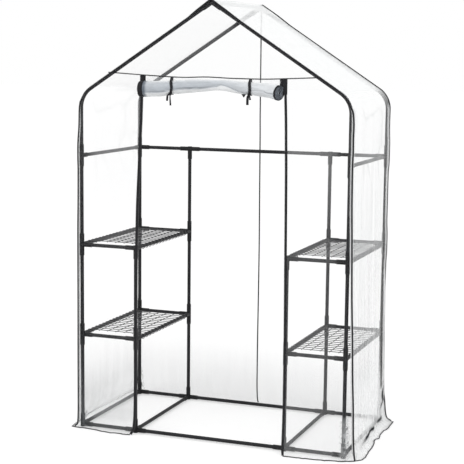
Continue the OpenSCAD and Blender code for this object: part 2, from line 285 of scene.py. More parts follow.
def ramp(tree, factor, *stops):
    node = add_node(tree, "ShaderNodeValToRGB", Fac=factor)
    colors = node.color_ramp.elements
    while len(colors) < len(stops):
        colors.new(0.5)
    for element, (position, value) in zip(colors, stops):
        element.position = position
        element.color = (*value, 1) if isinstance(value, tuple) else (value, value, value, 1)
    return node.outputs["Color"]


def calc(tree, operation, a, b):
    return add_node(tree, "ShaderNodeMath", {"operation": operation}, i0=a, i1=b).outputs[0]


def blend(tree, factor, a, b, kind="MIX"):
    settings = {"data_type": "RGBA", "blend_type": kind}
    return add_node(tree, "ShaderNodeMix", settings, i0=factor, i6=a, i7=b).outputs[2]


def attribute(tree, key, output="Fac"):
    return add_node(tree, "ShaderNodeAttribute", {"attribute_name": key}).outputs[output]


def bump(tree, height, strength, distance):
    node = add_node(tree, "ShaderNodeBump", Strength=strength, Distance=distance, Height=height)
    return node.outputs["Normal"]


def grainy(name, dark, light, roughness, scale, strength, **values):
    """A solid finish with fine grain: colour, roughness and bump vary with the same noise."""
    material, tree, shader = new_material(name, **values)
    fine = noise_texture(tree, EVEN, scale, Detail=3.0)
    broad = noise_texture(tree, EVEN, scale / 60, Detail=2.0)
    feed(tree, shader,
         Base_Color=ramp(tree, calc(tree, "MULTIPLY", fine, broad), (0.12, dark), (0.42, light)),
         Roughness=ramp(tree, fine, (0.3, roughness - 0.07), (0.7, roughness + 0.07)),
         Normal=bump(tree, fine, strength, 0.0004))
    return material


def woven(name, dark, light):
    """Black tape: two crossing sets of threads."""
    material, tree, shader = new_material(name, Specular_IOR_Level=0.25)
    place = stretched(tree, EVEN)
    warp, weft = (add_node(tree, "ShaderNodeTexWave", {"bands_direction": direction}, Vector=place,
                           Scale=420.0, Distortion=0.6).outputs["Fac"] for direction in ("Z", "DIAGONAL"))
    weave = calc(tree, "MULTIPLY", warp, weft)
    feed(tree, shader,
         Base_Color=ramp(tree, weave, (0.0, dark), (0.9, light)),
         Roughness=ramp(tree, weave, (0.0, 0.92), (1.0, 0.72)),
         Normal=bump(tree, weave, 0.35, 0.0006))
    return material


# The film's pale gloss at a glancing angle: how sharply it rises, how strong it is and its most
GLANCE_POWER = 12.6
GLANCE_GAIN = 5.4
GLANCE_MOST = 0.66


def clear_film(name):
    """Soft clear film, paler at a glancing angle.

    The mesh says how hazy, pale and shiny it is, where it is crumpled, which gets painted highlight and shade
    specks, where its folds are painted dark with shade, and which way its panel faces.
    """
    material, tree, shader = new_material(name)
    streaks = noise_texture(tree, (9, 9, 1.2), 3.0, Detail=5.0, Roughness=0.6)
    specks = noise_texture(tree, (1, 1, 0.6), 85.0, Detail=2.0, Distortion=1.0)
    ripple = noise_texture(tree, (16, 16, 3), 3.0, Detail=2.0)
    folds = noise_texture(tree, (14, 14, 1.3), 2.0, Detail=2.0, Distortion=0.5)
    folds = ramp(tree, folds, (0.45, 0.0), (0.5, 1.0), (0.55, 0.0))
    haze = calc(tree, "MULTIPLY", attribute(tree, "haze"), ramp(tree, streaks, (0.3, 0.92), (0.7, 1.08)))
    crumple = attribute(tree, "crumple")
    # Glints are painted highlights: pale specks on crumpled film. Shade is painted shade: dark specks on the
    # crumples, and the dark of the folds.
    glint = calc(tree, "MULTIPLY", crumple, ramp(tree, specks, (0.50, 0.0), (0.56, 0.55)))
    shade = calc(tree, "MULTIPLY", crumple, ramp(tree, specks, (0.44, 0.9), (0.48, 0.0)))
    shade = calc(tree, "MAXIMUM", shade, attribute(tree, "dark"))
    body = calc(tree, "MAXIMUM", haze, calc(tree, "MAXIMUM", glint, shade))
    facing = add_node(tree, "ShaderNodeLayerWeight", Blend=0.5, Normal=attribute(tree, "panel", "Vector"))
    glance = calc(tree, "POWER", facing.outputs["Facing"], GLANCE_POWER)
    glance = calc(tree, "MINIMUM", calc(tree, "MULTIPLY", glance, GLANCE_GAIN), GLANCE_MOST)
    gloss = calc(tree, "MULTIPLY", glance, attribute(tree, "shine"))
    alpha = calc(tree, "ADD", body, gloss)
    mirror = calc(tree, "DIVIDE", gloss, alpha)
    tone = calc(tree, "MAXIMUM", attribute(tree, "tone"), glint)
    # A low tone gives grey, which is painted shade in the low haze, along creases and in folds.
    plain = blend(tree, tone, (0.15, 0.165, 0.175, 1), (0.97, 0.98, 0.985, 1))
    plain = blend(tree, shade, plain, (0.02, 0.022, 0.025, 1))
    feed(tree, shader,
         Base_Color=blend(tree, mirror, plain, (0.97, 0.98, 0.98, 1)),
         Alpha=calc(tree, "MINIMUM", alpha, 1.0),
         Metallic=mirror,
         Roughness=calc(tree, "MAXIMUM", ramp(tree, streaks, (0.3, 0.10), (0.7, 0.22)),
                        calc(tree, "MULTIPLY", mirror, 0.55)),
         # The painted shade also takes away the reflection, so that it stays dark.
         Specular_IOR_Level=ramp(tree, shade, (0.0, 0.5), (1.0, 0.0)),
         Normal=bump(tree, calc(tree, "ADD", ripple, folds), 0.25, 0.002))
    return material


def milky_film(name):
    """Many layers of the same film, wound on each other: pale blue-grey, with painted shading that darkens
    the front of the roll, and painted shade in its creases.
    """
    material, tree, shader = new_material(name, Specular_IOR_Level=0.5)
    cloudy = noise_texture(tree, (5, 16, 16), 4.0, Detail=5.0, Roughness=0.6)
    ripple = noise_texture(tree, (20, 60, 60), 3.0, Detail=4.0)
    pale = blend(tree, attribute(tree, "tone"), (0.47, 0.505, 0.545, 1), (0.94, 0.955, 0.965, 1))
    pale = blend(tree, 1.0, pale, ramp(tree, cloudy, (0.3, 0.86), (0.7, 1.06)), "MULTIPLY")
    # The crease attribute paints shade in the roll's crease, and the grey of the tape inside.
    feed(tree, shader,
         Base_Color=blend(tree, attribute(tree, "crease"), pale, (0.06, 0.08, 0.11, 1)),
         Roughness=ramp(tree, cloudy, (0.3, 0.2), (0.7, 0.34)),
         Alpha=calc(tree, "SUBTRACT", 1.0, attribute(tree, "sheer")),
         Normal=bump(tree, ripple, 0.3, 0.002))
    return material


COATED = grainy("powder_coat", (0.008, 0.008, 0.0095), (0.020, 0.020, 0.023), 0.5, 900.0, 0.12,
                Specular_IOR_Level=0.25)
COATED_WIRE = grainy("wire_coat", (0.030, 0.030, 0.033), (0.075, 0.075, 0.080), 0.32, 900.0, 0.10)
PLASTIC = grainy("moulded_plastic", (0.005, 0.005, 0.006), (0.015, 0.015, 0.017), 0.55, 600.0, 0.18,
                 Specular_IOR_Level=0.25)
TAPE = woven("black_tape", (0.012, 0.012, 0.014), (0.036, 0.036, 0.039))
TEETH = grainy("zip_teeth", (0.006, 0.006, 0.007), (0.016, 0.016, 0.018), 0.35, 900.0, 0.08)
FILM = clear_film("clear_film")
MILKY = milky_film("rolled_film")

SLOT_MATERIALS = {"coated_tube": COATED, "coated_wire": COATED_WIRE, "black_plastic": PLASTIC,
                  "black_tape": TAPE, "clear_film": FILM, "rolled_film": MILKY}
for part in frame["record"]["subparts"]:
    slots = nodes[part["node"]].data.materials
    slots.clear()
    slots.append(SLOT_MATERIALS[part["material_slot"]])


# Wire shelves: round wires, with cross wires that hook round the long rails

WIRE_R = 0.0017
WIRE_SAG = 0.0006
WIRE_POINTS = 24
HOOK_R = TUBE_R + WIRE_R + 0.0002
HOOK_SLACK = 0.0014
HOOK_END = math.radians(-95)
HOOK_REACH = 0.01
HOOK_POINTS = 14
CROSS_WIRES = 14
LONG_WIRES = 5
LONG_POINTS = 30
# The long wires are welded into the underside of the cross wires.
WELD_DROP = 1.6 * WIRE_R


def wire_shelf(name, side):
    level = centre(name.replace("mesh", "rails")).z
    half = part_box(name)[1].y - 2 * WIRE_R
    top = level + HOOK_R
    shape = Shape()
    curl = np.linspace(HOOK_END, math.pi / 2, HOOK_POINTS)
    outer = np.array([HALF_W + HOOK_R * np.cos(curl), level + HOOK_R * np.sin(curl)]).T
    loose = HOOK_R + HOOK_SLACK * ease(math.pi / 2, 0, curl)
    inner = np.array([INNER_X - loose * np.cos(curl), level + loose * np.sin(curl)]).T
    middle_x = np.linspace(INNER_X + HOOK_REACH, HALF_W - HOOK_REACH, WIRE_POINTS)
    middle = np.array([middle_x, np.full(WIRE_POINTS, top)]).T
    line = np.concatenate([inner, middle, outer[::-1]])
    sag = WIRE_SAG * np.sin(np.linspace(0, math.pi, len(line)))
    for k in range(CROSS_WIRES):
        y = mix(-half, half, k / (CROSS_WIRES - 1))
        path = np.stack([side * line[:, 0], np.full(len(line), y), line[:, 1]], 1)
        path[:, 2] -= sag * (1 + 0.5 * math.sin(5.1 * k))
        shape.add(*tube(path, WIRE_R))
    gap = (HALF_W - INNER_X - 2 * TUBE_R) / (LONG_WIRES + 1)
    for k in range(LONG_WIRES):
        x = side * (INNER_X + TUBE_R + (k + 1) * gap)
        ys = np.linspace(-half - 2 * WIRE_R, half + 2 * WIRE_R, LONG_POINTS)
        path = np.stack([np.full(LONG_POINTS, x), ys, np.full(LONG_POINTS, top - WELD_DROP)], 1)
        shape.add(*tube(path, WIRE_R))
    shape.build(name + "_wires", COATED_WIRE, "coated_wire", name)


for side, side_name in SIDES:
    for level_name in ("lower", "upper"):
        wire_shelf("%s_%s_shelf_mesh" % (side_name, level_name), side)


# The cover's lines: where its corners, its doorway and its header run

def arch_x(z, offset):
    """Half width of the arch at a height, at an offset from the tubes' centre line."""
    z = np.asarray(z, float)
    rise = np.clip(z - BEND_H, 0, (BEND_R + offset) * math.sin(TURN))
    bend = BEND_X + np.sqrt((BEND_R + offset) ** 2 - rise ** 2)
    slope = (RIDGE_H + offset / math.cos(PITCH) - z) / math.tan(PITCH)
    return np.where(z < BEND_H + (BEND_R + offset) * math.sin(TURN), bend, slope)


# How the back lies on its rails and is drawn in between them
BACK_TOP = [(1.20, -.0015), (1.26, -.0015), (1.31, -.001), (1.36, 0), (1.5, 0)]
BACK_UPPER = [(.53, -.0015), (.74, -.0035), (.80, -.0015), (.86, -.0015), (.94, -.004), (1.15, -.004),
              *BACK_TOP]
# How far each corner of the cover stands out sideways and endways at each height
CORNER_OUT = {
    (FRONT, RIGHT): (
        table([(0, .044), (.038, .040), (.080, .037), (.143, .034), (.222, .031), (.343, .024),
               (.512, .018), (.679, .011), (.928, .005), (1.09, .001), (1.22, 0), (1.30, .002),
               (1.38, .005), (1.44, .004), (1.475, 0), (1.6, 0)]),
        table([(0, .015), (.038, .018), (.080, .018), (.143, .016), (.222, .012), (.343, .007),
               (.512, .003), (.679, .001), (.9, 0)])),
    (FRONT, LEFT): (
        table([(0, .028), (.004, .015), (.010, .0075), (.034, .0035), (.099, .002), (.215, .002),
               (.580, .001), (.90, 0), (1.03, -.002), (1.18, -.003), (1.20, -.002), (1.26, -.002),
               (1.30, -.003), (1.42, -.002), (1.5, 0)]),
        table([(0, .016), (.010, .005), (.040, .002), (.215, .001), (.580, 0)])),
    (BACK, RIGHT): (
        table([(0, .0555), (.0125, .0213), (.0355, .0136), (.073, .0092), (.097, .0076), (.144, .0058),
               (.191, .0035), (.36, .0005), *BACK_UPPER]),
        table([(0, -.014), (.0125, 0), (.30, 0), *BACK_UPPER])),
    (BACK, LEFT): (
        table([(0, .036), (.040, .015), (.100, .004), (.200, .001), (.36, -.002), (.40, -.0015),
               (.45, -.0015), (.50, -.004), (.78, -.004), (.81, -.0015), (.86, -.0015), (.90, -.004),
               (1.18, -.004), *BACK_TOP]),
        table([(0, .034), (.050, .012), (.120, .003), (.300, 0)])),
}

# The zip lines beside the doorway: place across, and how far out
JAMB = {
    LEFT: (table([(0, -.352), (.030, -.344), (.200, -.3435), (.500, -.3430), (.800, -.3390), (1.0, -.3350),
                  (1.2, -.3262), (1.437, -.3165), (1.476, -.3155), (1.577, -.3148)]),
           table([(0, .035), (.030, .016), (.080, .006), (.200, .002), (.400, 0)])),
    RIGHT: (table([(0, .368), (.040, .358), (.100, .353), (.400, .350), (.800, .346), (1.2, .342),
                   (1.40, .3370), (1.510, .3330), (1.577, .3307)]),
            table([(0, .064), (.040, .035), (.100, .015), (.250, .004), (.500, 0)])),
}

# The seam down the middle of the back, in the same way
SEAM = (table([(0, .002), (.35, .003), (.75, .0044), (1.0, .003), (1.4, .001), (1.9, 0)]),
        table([(0, .030), (.040, .010), (.120, .002), (.300, 0)]))

# Height of the header seam across the front
HEADER = table([(x, HEADER_H + rise) for x, rise in (
    (-.50, .015), (-.448, .013), (-.30, .005), (-.12, -.002), (-.02, .001), (.10, -.003), (.22, -.004),
    (.35, 0), (.463, .005), (.50, .006))])

# How far the hem of each side stands out further than its corners, from front to back
SIDE_HEM = {RIGHT: table([(0, 0), (.056, .023), (.124, .022), (.24, .016), (.38, .009), (.50, -.006),
                          (.525, -.0066), (.553, .0056), (.65, -.0064), (.755, -.006), (.787, 0),
                          (.92, -.0016), (1, 0)]),
            LEFT: table([(0, 0), (.10, .006), (.35, .020), (.70, .010), (1, 0)])}

# The same for the front and the back, from the corner to the inner edge
END_HEM = {
    (FRONT, LEFT): table([(0, 0), (.127, -.007), (.31, -.0027), (.49, 0), (.667, .0055), (.824, -.0024),
                          (1, 0)]),
    (FRONT, RIGHT): table([(0, 0), (.25, .014), (.67, .008), (1, 0)]),
    (BACK, LEFT): table([(0, 0), (.3, .010), (.6, -.004), (1, 0)]),
    (BACK, RIGHT): table([(0, 0), (.3, -.006), (.6, .012), (1, 0)]),
}

# Half the length of the header seam
HEADER_HALF = float(arch_x(HEADER_H + .01, film_off(HEADER_H)))

SKIRT_H = 0.10
# The back is stretched flatter than the front, and the right foot is less crumpled than the left.
SLACK = {FRONT: 1.0, BACK: 0.4}
SIDE_CRUMPLE = {LEFT: 1.0, RIGHT: 0.35}

# Where the columns and rows of the sheets lie: closer at the corners and near the ground
EDGE = np.linspace(0, 0.08, 9)
SIDE_COLUMNS = np.concatenate([EDGE[:-1], np.linspace(0.08, 0.92, 58), 1 - EDGE[-2::-1]])
END_COLUMNS = {FRONT: np.concatenate([EDGE[:-1], np.linspace(0.08, 1, 42)]),
               BACK: np.concatenate([EDGE[:-1], np.linspace(0.08, 1, 58)])}
LOW_ROWS = np.linspace(0, 0.30, 40)[:-1]
WALL_ROWS = np.concatenate([LOW_ROWS, np.linspace(0.30, BEND_H, 100)])
END_ROWS = {FRONT: np.concatenate([LOW_ROWS, np.linspace(0.30, HEADER_H, 110)]),
            BACK: np.concatenate([LOW_ROWS, np.linspace(0.30, END_TOP, 130)])}


def corner_x(end, side, z, proud=0.0):
    return side * (arch_x(z, film_off(z) + proud) + CORNER_OUT[end, side][0](z))


def corner_y(end, side, z):
    return end * (HALF_D + end_off(z) + CORNER_OUT[end, side][1](z))


def skirt(z):
    return np.clip(1 - np.asarray(z, float) / SKIRT_H, 0, 1) ** 1.5


def wrinkles(u, z, seed, low_share=1.0):
    """How far a wall of film stands out in creases: long upright folds, and crumples near the ground."""
    upright = 0.0022 * crease(u * 9, z * 1.1, seed) + 0.0011 * crease(u * 23, z * 2.3, seed + 1)
    slack = 0.0016 * (1 + noise(u * 5, z * 2.2, seed + 2))
    low = low_share * (1 - ease(0.03, 0.30, z))
    crumple = low * (0.006 * crease(u * 17, z * 13, seed + 3) + 0.004 * crease(u * 34, z * 26, seed + 4))
    return upright + slack + crumple


def edge_mask(t):
    """0 on both edges of a sheet and 1 inside it."""
    return ease(0, 0.06, t) * ease(0, 0.06, 1 - np.asarray(t, float))


def side_sheet(side, seed):
    """Wall, eave bend and roof slope of one side in one piece."""
    arc = np.linspace(0, TURN, 14)[1:]
    wall = np.stack([np.full(len(WALL_ROWS), HALF_W), WALL_ROWS], 1)
    bend = np.stack([BEND_X + BEND_R * np.cos(arc), BEND_H + BEND_R * np.sin(arc)], 1)
    past = 1 + FILM_OFF * math.tan(PITCH) / np.linalg.norm(bend[-1] - [0, RIDGE_H])
    slope = mix(bend[-1], np.array([0.0003, RIDGE_H]), np.linspace(0, past, 64)[1:, None])
    normal = np.concatenate([np.tile([1.0, 0.0], (len(wall), 1)), np.stack([np.cos(arc), np.sin(arc)], 1),
                             np.tile([math.cos(TURN), math.sin(TURN)], (len(slope), 1))])
    line = np.concatenate([wall, bend, slope])
    line = line + normal * film_off(line[:, 1])[:, None]
    run = np.concatenate([[0], np.cumsum(np.linalg.norm(np.diff(line, axis=0), axis=1))])
    v = SIDE_COLUMNS[None, :]
    z = line[:, 1:2]
    out = mix(CORNER_OUT[FRONT, side][0](z), CORNER_OUT[BACK, side][0](z), v)
    out = out + skirt(z) * (SIDE_HEM[side](v) + 0.0015 * noise(v * 14, 0 * v, seed))
    y = mix(corner_y(FRONT, side, z), corner_y(BACK, side, z), v)
    held = edge_mask(v) * (1 - ease(0.97, 1.0, run / run[-1]))[:, None]
    folds = wrinkles(y + 3 * seed, run[:, None], seed, SIDE_CRUMPLE[side])
    roof = ease(BEND_H, EAVE_H, z)
    folds = folds + roof * 0.0020 * crease(y * 6 + run[:, None] * 7, run[:, None] * 3 - y * 4, seed + 5)
    out = out + held * folds
    x = side * (line[:, 0:1] + normal[:, 0:1] * out)
    height = np.maximum(z + normal[:, 1:2] * out, FILM_T / 2)
    return np.stack([x, y, height], 2)


def end_panel(end, side, seed):
    """A wall of film on the front or the back, from the arch to the zip or the back seam."""
    inner_x, inner_out = JAMB[side] if end == FRONT else SEAM
    rows = END_ROWS[end]
    u = END_COLUMNS[end][None, :]
    z = rows[:, None]
    x = mix(corner_x(end, side, z), inner_x(z), u)
    out = mix(CORNER_OUT[end, side][1](z), inner_out(z), u) + END_HEM[end, side](u) * skirt(z)
    out = out + edge_mask(u) * wrinkles(x + 3 * seed, z, seed) * SLACK[end]
    if end == FRONT:
        share = ease(0.75, 1.0, z / rows[-1])
        z = z + (HEADER(x) - rows[-1]) * share
    return np.stack([x, end * (HALF_D + end_off(z) + out), np.maximum(z + 0 * x, FILM_T / 2)], 2)


def gable_panel(seed):
    """The front above the header seam."""
    t = np.linspace(0, 1, 60)[:, None]
    u = np.linspace(-1, 1, 90)[None, :]
    low_x = u * HEADER_HALF
    z = mix(HEADER(low_x), END_TOP, t)
    x = u * arch_x(z, film_off(z))
    inside = np.clip((1 - np.abs(u)) * 8, 0, 1)
    out = inside * ease(0, .1, 1 - t) * wrinkles(x, z, seed)
    return np.stack([x, -(HALF_D + end_off(z) + out), z], 2)


# Looks of the film. The first table is its low grey haze at each height, partly its own haze and partly
# painted shade that darkens it towards the ground, and GREY_SHARE how much of it each panel has.
HAZE_AND_SHADE = table([(0, .125), (.07, .120), (.14, .105), (.20, .080), (.30, .034), (.42, .014), (.60, .006),
              (1.9, .003)])
GREY_SHARE = {(FRONT, LEFT): 1.0, (FRONT, RIGHT): 0.2, (BACK, LEFT): 1.0, (BACK, RIGHT): 0.85}
# A white veil on the front panels
VEIL = {LEFT: table([(0, .03), (.035, .03), (.07, .10), (.10, .11), (.18, .07), (.30, .015), (.80, .005),
                     (1.0, .04), (1.2, .09), (1.45, .08), (1.58, .045), (1.9, .04)]),
        RIGHT: table([(0, .060), (.15, .050), (.30, .040), (.60, .030), (.90, .030), (1.1, .06),
                      (1.25, .085), (1.45, .08), (1.58, .045), (1.9, .04)])}
# The front is clearer where it clings to the corner posts and where it lies over the ground rail.
CLING = 0.10
CLING_SHARE = 0.12
RAIL_SHARE = 0.45
# The paler haze of the right side, and its streaks and the painted shade of its folds beside those of the
# left
PALE_HAZE = table([(0, .34), (.04, .36), (.08, .37), (.14, .36), (.22, .34), (.30, .20), (.42, .155),
                   (.60, .150), (.80, .115), (1.0, .09), (1.15, .045), (1.3, .03), (1.46, .012),
                   (1.55, .003), (1.9, .003)])
STREAK = {LEFT: 0.13, RIGHT: 0.25}
FOLD_SHADE = {LEFT: 0.04, RIGHT: 0.10}
# The right side over the back post: how hazy it is there, and the distance from the corner of a curl in the
# film, painted dark as shade
POST_GAP = 0.075
POST_SPAN = 0.026
POST_HAZE = table([(0, .55), (.08, .50), (.10, .60), (.16, .60), (.18, .05), (.30, 0), (1.5, 0)])
CURL_GAP = table([(.085, .100), (.10, .070), (.112, .052), (.135, .058), (.155, .048), (.168, .021)])
CURL_W = 0.020
# The strips beside its back corner where it is dull, on the wall and on the roof
WALL_DULL_W = 0.115
ROOF_DULL_W = 0.05
# Painted shade along a crimp at the foot of the right side, from front to back
CRIMP_H = 0.042
CRIMP_W = 0.009
CRIMP_SHADE = table([(-.30, 0), (-.26, .25), (-.18, .5), (-.10, 1), (.04, 1), (.08, .1), (.12, .1), (.15, .8),
               (.21, .8), (.24, 0), (.3, 0)])
# How crumpled the film is at the foot of each corner, which sets its painted highlight and shade specks, and
# how far beside the post
CRUMPLE = {(FRONT, RIGHT): table([(0, .2), (.03, .8), (.10, 1), (.16, .7), (.20, 0), (.3, 0)]),
           (FRONT, LEFT): table([(0, .3), (.05, .5), (.10, .25), (.14, 0), (.3, 0)]),
           (BACK, RIGHT): table([(0, .3), (.05, .7), (.15, 1), (.25, .8), (.32, 0), (.4, 0)]),
           (BACK, LEFT): table([(0, .3), (.06, .6), (.12, .3), (.18, 0), (.3, 0)])}
CRUMPLE_X = {(FRONT, RIGHT): 0.014, (FRONT, LEFT): -0.022, (BACK, RIGHT): 0.004, (BACK, LEFT): 0.004}
END_CRUMPLE_W = 0.016
SIDE_CRUMPLE_W = {FRONT: 0.020, BACK: 0.034}
# The strip of doubled film beside each corner, painted white as the highlight on the film's bend there
END_HIGHLIGHT_W = 0.0065
SIDE_HIGHLIGHT_W = {(FRONT, LEFT): 0.020, (FRONT, RIGHT): 0.020, (BACK, LEFT): 0.012, (BACK, RIGHT): 0.046}
HIGHLIGHT_HAZE = 0.75
# Painted shade along creases that spread out from the rolled door's left end, with their angles in degrees
PULL_FROM = (0.325, 1.525)
PULL_ANGLES = (8, -5, -45)
PULL_W = 0.007
PULL_SHADE = 0.03


def bend_highlight(gap, width, z):
    """The strip of doubled film beside a piped corner, painted white as the highlight on its bend, from 0 to
    1.
    """
    return np.exp(-(gap / width) ** 4) * ease(1.475, 1.44, z) * ease(0.01, 0.05, z)


# Paints white into the haze and tone where the mask is high: a painted highlight.
def with_highlight(haze, tone, band):
    return np.maximum(haze, HIGHLIGHT_HAZE * band), mix(tone, 1.0, band)


def pull_crease_shade(x, z):
    """Painted shade along faint straight creases in the film that spread out from the rolled door's left end.
    """
    dx, dz = x - PULL_FROM[0], z - PULL_FROM[1]
    total = 0 * z
    for angle in np.radians(PULL_ANGLES):
        along = dx * math.cos(angle) + dz * math.sin(angle)
        aside = dx * math.sin(angle) - dz * math.cos(angle)
        fade = ease(0, 0.02, along) * ease(0.15, 0.06, along)
        total = total + np.exp(-(aside / PULL_W) ** 2) * fade
    return PULL_SHADE * total


def end_look(end, side, grid):
    """Haze, tone, crumple, facing and shine of a wall of film on the front or the back."""
    x, z = np.abs(grid[..., 0]), grid[..., 2]
    gap = np.abs(corner_x(end, side, z)) - x
    # The grey haze is partly the film's own haze and partly painted shade near the ground.
    grey, white = HAZE_AND_SHADE(z) * GREY_SHARE[end, side], 0 * z
    if end == FRONT:
        white = VEIL[side](z) * mix(CLING_SHARE, 1, ease(0.035, CLING, gap))
        grey = grey * mix(RAIL_SHARE, 1, ease(0.035, 0.070, z))
    if (end, side) == (FRONT, LEFT):
        # Painted shade along creases.
        grey = grey + pull_crease_shade(x, z)
    # Painted highlight on the film's bend beside the corner.
    haze, tone = with_highlight(grey + white, white / (grey + white), bend_highlight(gap, END_HIGHLIGHT_W, z))
    beside = (x - HALF_W - CRUMPLE_X[end, side]) / END_CRUMPLE_W
    crumple = np.exp(-beside ** 2) * CRUMPLE[end, side](z)
    # The crumpled foot of the front right corner is painted pale, as highlights on its crumples.
    if (end, side) == (FRONT, RIGHT):
        haze, tone = with_highlight(haze, tone, 0.35 * crumple)
    panel = np.broadcast_to([0.0, 1.0, 0.0], grid.shape)
    return {"haze": haze, "tone": tone, "crumple": crumple, "panel": panel, "shine": 1 + 0 * z}


def side_look(side, grid, seed):
    """The same for a side, whose wall bends into its roof slope, and the painted shade of its folds."""
    y, z = grid[..., 1], grid[..., 2]
    gaps = {end: np.abs(corner_y(end, side, z) - y) for end in (FRONT, BACK)}
    roof = ease(1.42, 1.50, z)
    streak = 1 + STREAK[side] * (1.5 * noise(y * 42, z * 1.6, seed) + noise(y * 90, z * 3, seed + 1))
    streak = np.where(z < EAVE_H, streak, 1)
    if side == LEFT:
        low = 1 - ease(0.05, 0.15, z)
        crumpled = low * crease(y * 17, z * 13, seed + 6)
        # Its grey haze is partly painted shade near the ground.
        haze, tone = HAZE_AND_SHADE(z) * streak * mix(1.1, 0.6, low) + 0.06 * crumpled, 0.9 * crumpled
        dark = 0 * z
        dull = 0.8 * roof
    else:
        streaky = 0.5 + 0.35 * noise(y * 60, z * 2, seed + 3)
        tone = mix(streaky, 1.0, 1 - ease(0.22, 0.36, z))
        over_post = np.exp(-((gaps[BACK] - POST_GAP) / POST_SPAN) ** 4) * ease(1.475, 1.44, z)
        haze, tone = mix(PALE_HAZE(z) * streak, POST_HAZE(z), over_post), mix(tone, 1.0, over_post)
        # The curl and the crimp are painted shade, which darkens the film and takes away its shine.
        curl = np.exp(-((gaps[BACK] - CURL_GAP(z)) / CURL_W) ** 2)
        curl = curl * ease(.08, .09, z) * ease(.175, .165, z)
        crimp_shade = CRIMP_SHADE(y) * np.exp(-((z - CRIMP_H) / CRIMP_W) ** 2)
        dark = np.minimum(1.5 * np.maximum(curl, crimp_shade), 1)
        wall_edge = np.exp(-(gaps[BACK] / WALL_DULL_W) ** 4)
        roof_edge = np.exp(-(gaps[BACK] / ROOF_DULL_W) ** 2)
        dull = mix(0.9 * wall_edge, 0.4 * roof_edge, roof)
    # Painted shade along folds below the eave.
    fold_shade = crease(y * 7 + z * 4, z * 8 - y * 3, seed + 2) ** 2
    fold_shade = fold_shade * ease(1.05, 1.25, z) * ease(1.48, 1.42, z)
    haze, tone = haze + FOLD_SHADE[side] * fold_shade, mix(tone, 0.25, fold_shade)
    # Painted highlight on the film's bend beside both corners.
    band = np.maximum(*(bend_highlight(gaps[end], SIDE_HIGHLIGHT_W[end, side], z) for end in (FRONT, BACK)))
    haze, tone = with_highlight(haze, tone, band)
    crumple = np.maximum(*(np.exp(-(gaps[end] / SIDE_CRUMPLE_W[end]) ** 2) * CRUMPLE[end, side](z)
                           for end in (FRONT, BACK)))
    along = unit(np.gradient(grid.mean(axis=1), axis=0))
    panel = np.broadcast_to(np.cross(along, [0.0, 1.0, 0.0])[:, None, :], grid.shape)
    return {"haze": haze, "tone": tone, "crumple": crumple, "panel": panel,
            "shine": (1 - dull) * (1 - dark), "dark": dark}


def film_piece(name, node, grid, look):
    shape = Shape()
    shape.add(*closed_sheet(grid, FILM_T))
    both_faces = {key: np.concatenate([value.reshape(grid[..., 0].size, -1).squeeze()] * 2)
                  for key, value in look.items()}
    obj = shape.build(name, FILM, "clear_film", node, **both_faces)


side_grids = {side: side_sheet(side, 2 + side) for side in (LEFT, RIGHT)}
end_grids = {(end, side): end_panel(end, side, seed + side)
             for end, seed in ((FRONT, 11), (BACK, 21)) for side in (LEFT, RIGHT)}

for side, side_name in SIDES:
    film_grid = side_grids[side]
    film_piece("%s_side_film" % side_name, "%s_side_sheet" % side_name, film_grid,
               side_look(side, film_grid, seed=51))

for side, side_name in SIDES:
    for end, end_name in ((FRONT, "front"), (BACK, "back")):
        place = "%s_%s_" % (end_name, side_name)
        film_grid = end_grids[end, side]
        film_piece(place + "film", place + "panel", film_grid, end_look(end, side, film_grid))

film_grid = gable_panel(seed=31)
film_piece("front_gable_film", "front_gable_panel", film_grid, end_look(FRONT, RIGHT, film_grid))


# Trim: piping on the arches, seams, hem binding and zips

ACROSS, UPWARD = (1.0, 0, 0), (0, 0, 1.0)
TAPE_T = 0.0013
# How far the middle of a tape lies off the film
TAPE_OFF = 0.0012
PIPING_R = {FRONT: 0.0036, BACK: 0.0030}
# How far the middle of the piping stands out from the film's corner at each height
PIPING_PROUD = {
    (FRONT, LEFT): table([(0, .0014), (1.30, .0014), (1.42, -.001), (1.50, -.0085), (1.80, -.0085),
                          (1.88, -.0040), (1.90, -.0020)]),
    (FRONT, RIGHT): table([(0, .0014), (1.40, .0014), (1.50, -.0050), (1.80, -.0050), (1.88, -.0030),
                           (1.90, -.0020)]),
    (BACK, LEFT): table([(0, .0004), (1.9, .0004)]),
    (BACK, RIGHT): table([(0, .0014), (.09, .0014), (.14, -.0022), (.60, -.0022), (.75, .0002), (1.35, .0002),
                          (1.50, .0014), (1.9, .0014)]),
}
HEADER_SEAM_W = 0.0048
BACK_SEAM_W = 0.0060
END_HEM_W = 0.0055
SIDE_HEM_W = 0.0042
HEM_LIFT = 0.0022
HEM_SLANT = (0.93, 0.37)


def arch_line(end):
    """The corner of the cover from the ground on the left, over the ridge, to the ground on the right."""
    bend = BEND_H + (BEND_R + film_off(EAVE_H)) * np.sin(np.linspace(0, TURN, 16))
    z = np.concatenate([np.linspace(0.004, 0.3, 40)[:-1], np.linspace(0.3, BEND_H, 60)[:-1], bend[:-1],
                        np.linspace(bend[-1], FILM_TOP - 0.002, 40)])
    halves = []
    for side in (LEFT, RIGHT):
        x = corner_x(end, side, z, PIPING_PROUD[end, side](z))
        halves.append(np.stack([x, corner_y(end, side, z), z], 1))
    return np.concatenate([halves[0], halves[1][::-1]])


piping = Shape()
for end in (FRONT, BACK):
    piping.add(*tube(arch_line(end), PIPING_R[end], sides=10))
piping.build("arch_piping_cord", TAPE, "black_tape", "arch_piping")

